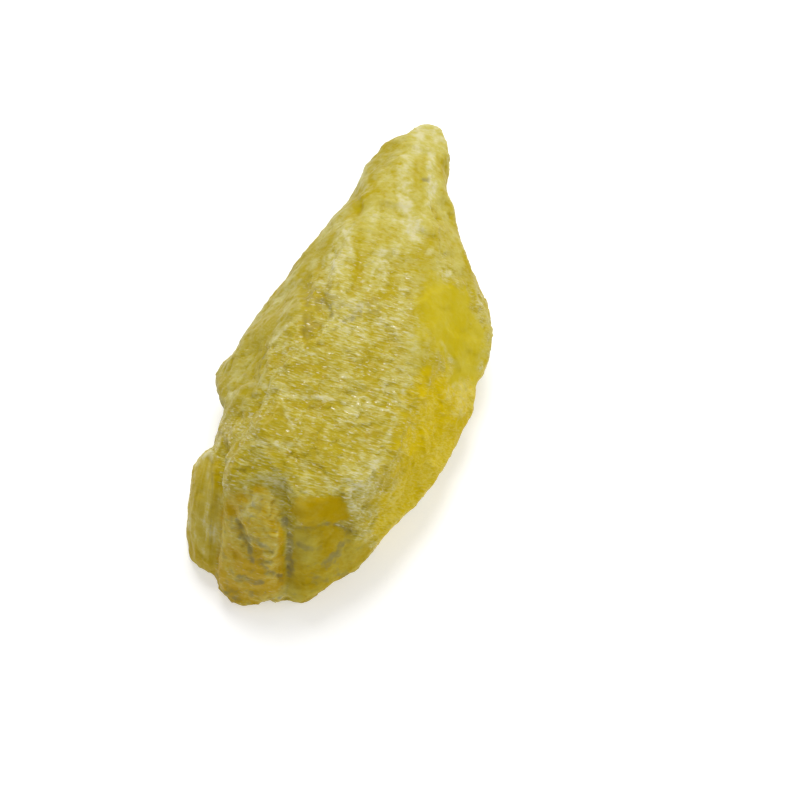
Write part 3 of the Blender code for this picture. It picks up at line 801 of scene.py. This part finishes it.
class Nodes:
    """Short ways to add and join the nodes of one material."""

    def __init__(self, tree):
        self.tree = tree

    def add(self, kind, **settings):
        node = self.tree.nodes.new(kind)
        for name, value in settings.items():
            setattr(node, name, value)
        return node

    def put(self, socket, value):
        if isinstance(value, bpy.types.NodeSocket):
            self.tree.links.new(value, socket)
        else:
            socket.default_value = value

    def math(self, operation, first, second, clamp=False):
        node = self.add("ShaderNodeMath", operation=operation, use_clamp=clamp)
        self.put(node.inputs[0], first)
        self.put(node.inputs[1], second)
        return node.outputs[0]

    def times(self, first, second):
        return self.math("MULTIPLY", first, second)

    def total(self, values, shares, start=0.0):
        """The start, and each named value times its share."""
        result = start
        for name, share in shares.items():
            result = self.math("ADD", self.times(values[name], share), result)
        return result

    def swing(self, values, shares):
        """The total of named noises, each counted from its middle."""
        return self.total(values, shares, -MIDDLE * sum(shares.values()))

    def step(self, value, low, high):
        node = self.add("ShaderNodeMapRange", interpolation_type="SMOOTHSTEP")
        self.put(node.inputs["Value"], value)
        node.inputs["From Min"].default_value = low
        node.inputs["From Max"].default_value = high
        return node.outputs["Result"]

    def mask(self, name):
        return self.add("ShaderNodeAttribute", attribute_name=name).outputs["Fac"]

    def mix(self, share, first, second):
        node = self.add("ShaderNodeMix", data_type="RGBA")
        self.put(node.inputs[0], share)
        self.put(node.inputs[6], first)
        self.put(node.inputs[7], second)
        return node.outputs[2]

    def noise(self, place, scale, octaves, roughness):
        node = self.add("ShaderNodeTexNoise")
        self.put(node.inputs["Vector"], place)
        node.inputs["Scale"].default_value = scale
        node.inputs["Detail"].default_value = octaves
        node.inputs["Roughness"].default_value = roughness
        return node.outputs["Fac"]

    def stretched(self, place, scale):
        node = self.add("ShaderNodeMapping")
        self.put(node.inputs["Vector"], place)
        node.inputs["Scale"].default_value = scale
        return node.outputs[0]

    def along_grain(self, place, length, width):
        """The place, turned to the grain and counted in the lengths, widths and depths of lamellae."""
        node = self.add("ShaderNodeMapping", vector_type="TEXTURE")
        self.put(node.inputs["Vector"], place)
        node.inputs["Rotation"].default_value = GRAIN_TURN.to_euler()
        node.inputs["Scale"].default_value = (length, width, LAMELLA_DEEP * width)
        return node.outputs[0]

    def bent(self, place):
        """The place, moved by a slow noise, so that what follows it wanders."""
        bend = self.add("ShaderNodeTexNoise")
        self.put(bend.inputs["Vector"], place)
        bend.inputs["Scale"].default_value = BENDS_TO_METRE
        bend.inputs["Detail"].default_value = BEND_OCTAVES
        centred = self.add("ShaderNodeVectorMath", operation="SUBTRACT")
        self.put(centred.inputs[0], bend.outputs["Color"])
        centred.inputs[1].default_value = (MIDDLE, MIDDLE, MIDDLE)
        small = self.add("ShaderNodeVectorMath", operation="SCALE")
        self.put(small.inputs[0], centred.outputs[0])
        small.inputs["Scale"].default_value = BENT_REACH * MM
        moved = self.add("ShaderNodeVectorMath", operation="ADD")
        self.put(moved.inputs[0], place)
        self.put(moved.inputs[1], small.outputs[0])
        return moved.outputs[0]


def rgba(colour):
    return (colour[0], colour[1], colour[2], 1.0)


def material_values(make):
    """Every mask and noise that the material is made of, by name."""
    straight = make.add("ShaderNodeTexCoord").outputs["Object"]
    places = {"straight": straight, "bent": make.bent(straight)}
    for name, scale in PLACE_STRETCHES.items():
        places[name] = make.stretched(places["bent"], scale)
    values = {name: make.mask(name) for name in PAINTED}
    for name, (place, length, width, octaves, roughness) in GRAIN_NOISES.items():
        grain = make.along_grain(places[place], length * MM, width * MM)
        values[name] = make.noise(grain, 1.0, octaves, roughness)
    for name, (place, scale, octaves, roughness) in PLACE_NOISES.items():
        values[name] = make.noise(places[place], scale, octaves, roughness)

    clear = 0.0
    for name in CLEAR_PARTS:
        clear = make.math("MAXIMUM", values[name], clear)
    values["cloudy"] = make.math("ADD", make.times(clear, -CLEAR_SHARE), 1.0)
    values["cloudy satin"] = make.times(values["satin"], values["cloudy"])
    values["glint"] = make.times(make.step(values["spark"], *GLINT_LEVELS), values["cloudy satin"])
    return values


def paleness(make, values):
    """How pale each place is: streaks, partly painted sheen, over clouds, drawn up by frost and bands and
    down by golden strokes and by painted shade in hollows.
    """
    strength = make.total(values, STREAK_STRENGTH, STREAK_LEAST)
    parts = {
        "streaks": make.times(make.swing(values, STREAKS), strength),
        "clouds": make.swing(values, CLOUDS),
        "marks": make.total(values, MARKS),
        "ribs": make.times(make.swing(values, {"rib": 1.0}), values["slab"]),
        "sugar": make.times(make.swing(values, {"speckle": 1.0}), make.total(values, SUGAR_STRENGTH, 1.0)),
    }
    return make.total(parts, PALE_SHARES, PALE_START)


def lump_colour(make, values, colours):
    """The colour of each place: its part's body and haze, with painted sheen on the pale lamellae, then white
    that is partly a painted highlight, powder, dirt with painted shade in a recess, and painted glints over
    them.
    """
    deep = make.mix(make.step(values["blotch"], *EMBER_LEVELS), rgba(colours.gold), rgba(colours.ember))
    high = rgba(colours.lemon_and_sheen)
    for name, share, tint in TINTS:
        amount = make.times(values[name], share)
        deep = make.mix(amount, deep, rgba(getattr(colours, tint)))
        high = make.mix(amount, high, rgba(getattr(colours, tint + "_haze")))
    pale = paleness(make, values)
    frost = rgba(colours.frost)
    # Pale places take the haze colour; on the body that is lemon, partly painted sheen of lamellae turned to
    # the light.
    base = make.mix(make.step(pale, *HAZE_AND_SHEEN_LEVELS), deep, high)
    # The palest places turn frost white: real frost, and on the brightest lamellae a painted highlight.
    base = make.mix(make.times(make.step(pale, *WHITE_LEVELS), values["cloudy"]), base, frost)
    bruised = make.math("MAXIMUM", values["frost"], values["band"])
    powder = make.times(bruised, make.step(values["speckle"], *POWDER_LEVELS))
    base = make.mix(make.times(powder, POWDER_COVER), base, frost)
    # Dirt, and painted shade down the recess, from the grime strokes.
    dirt_and_shade = make.step(make.total(values, DIRT_AND_SHADE_SHARES), *DIRT_AND_SHADE_LEVELS)
    dirt_and_shade = make.times(dirt_and_shade, make.step(values["grime"], *DIRT_AND_SHADE_EDGE))
    base = make.mix(make.times(dirt_and_shade, DIRT_AND_SHADE_COVER), base, rgba(colours.grime))
    # Painted glints: frost white laid on the glinting specks as highlights.
    return make.mix(make.times(values["glint"], PAINTED_GLINT_COVER), base, frost)


def sulfur_material(colours):
    """Golden satin with pale lamellae: clear on the right, frosted at the tip and dirty at the foot."""
    material = bpy.data.materials.new("sulfur")
    material.use_nodes = True
    shader = material.node_tree.nodes["Principled BSDF"]
    make = Nodes(material.node_tree)
    values = material_values(make)
    make.put(shader.inputs["Base Color"], lump_colour(make, values, colours))
    rough = make.total(values, ROUGHNESS)
    make.put(shader.inputs["Roughness"], make.math("ADD", rough, ROUGHNESS_START, clamp=True))
    make.put(shader.inputs["Specular IOR Level"], make.total(values, SHEEN))

    bump = make.add("ShaderNodeBump")
    make.put(bump.inputs["Height"], make.total(values, BUMPS))
    make.put(bump.inputs["Strength"], make.total(values, BUMP_STRENGTH, BUMP_LEAST))
    bump.inputs["Distance"].default_value = BUMP_HEIGHT * MM
    make.put(shader.inputs["Normal"], bump.outputs["Normal"])

    shader.inputs["IOR"].default_value = INDEX
    shader.inputs["Subsurface Weight"].default_value = GLOW_SHARE
    shader.inputs["Subsurface Radius"].default_value = GLOW_COLOUR
    shader.inputs["Subsurface Scale"].default_value = GLOW_REACH * MM
    return material


def add_camera():
    camera = bpy.data.objects.new("camera", bpy.data.cameras.new("camera"))
    camera.data.lens = LENS
    camera.data.clip_start = NEAREST_SEEN
    camera.location = SIGHT_MIDDLE + SIGHT_BACK * SIGHT_LENGTH
    camera.rotation_euler = SIGHT_BACK.to_track_quat("Z", "Y").to_euler()
    bpy.context.scene.collection.objects.link(camera)
    bpy.context.scene.camera = camera


def add_lamp(name, place, width, power):
    """A round soft lamp that shines on the lump."""
    lamp = bpy.data.objects.new(name, bpy.data.lights.new(name, "AREA"))
    lamp.data.shape = "DISK"
    lamp.data.size = width
    lamp.data.energy = power
    lamp.location = place
    lamp.rotation_euler = Vector(place).to_track_quat("Z", "Y").to_euler()
    bpy.context.scene.collection.objects.link(lamp)


class SULFUR_OT_stage(bpy.types.Operator):
    """Lays the pale floor and sets the soft lights and the camera"""

    bl_idname = "sulfur.stage"
    bl_label = "Stage"

    def execute(self, context):
        bpy.ops.mesh.primitive_plane_add(size=FLOOR_WIDTH, location=(0.0, 0.0, 0.0))
        floor = context.object
        floor.name = "floor"
        paint = bpy.data.materials.new("floor")
        paint.use_nodes = True
        shader = paint.node_tree.nodes["Principled BSDF"]
        shader.inputs["Base Color"].default_value = rgba(context.scene.sulfur_colours.floor)
        shader.inputs["Roughness"].default_value = FLOOR_ROUGHNESS
        shader.inputs["Specular IOR Level"].default_value = 0.0
        shader.inputs["Emission Color"].default_value = WHITE
        shader.inputs["Emission Strength"].default_value = FLOOR_GLOW
        floor.data.materials.append(paint)
        world = bpy.data.worlds.new("studio")
        world.use_nodes = True
        world.node_tree.nodes["Background"].inputs["Color"].default_value = WHITE
        world.node_tree.nodes["Background"].inputs["Strength"].default_value = SKY_GLOW
        context.scene.world = world
        for lamp in LAMPS:
            add_lamp(*lamp)
        context.scene.view_settings.view_transform = "Standard"
        add_camera()
        return {"FINISHED"}


class SULFUR_PT_panel(bpy.types.Panel):
    """The lump's sizes, colours and makers"""

    bl_idname = "SULFUR_PT_panel"
    bl_label = "Native sulfur"
    bl_space_type = "VIEW_3D"
    bl_region_type = "UI"
    bl_category = "Sulfur"

    def draw(self, context):
        layout = self.layout
        for group in (context.scene.sulfur_sizes, context.scene.sulfur_colours):
            for name in group.bl_rna.properties.keys():
                if name not in ("rna_type", "name"):
                    layout.prop(group, name)
        layout.operator(SULFUR_OT_lump.bl_idname)
        layout.operator(SULFUR_OT_stage.bl_idname)


CLASSES = (SulfurSizes, SulfurColours, SULFUR_OT_lump, SULFUR_OT_stage, SULFUR_PT_panel)


def register():
    for made in CLASSES:
        bpy.utils.register_class(made)
    bpy.types.Scene.sulfur_sizes = PointerProperty(type=SulfurSizes)
    bpy.types.Scene.sulfur_colours = PointerProperty(type=SulfurColours)


def unregister():
    del bpy.types.Scene.sulfur_colours
    del bpy.types.Scene.sulfur_sizes
    for made in reversed(CLASSES):
        bpy.utils.unregister_class(made)


def main():
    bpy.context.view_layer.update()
    register()
    bpy.ops.sulfur.stage()
    bpy.ops.sulfur.lump()


if __name__ == "__main__":
    main()
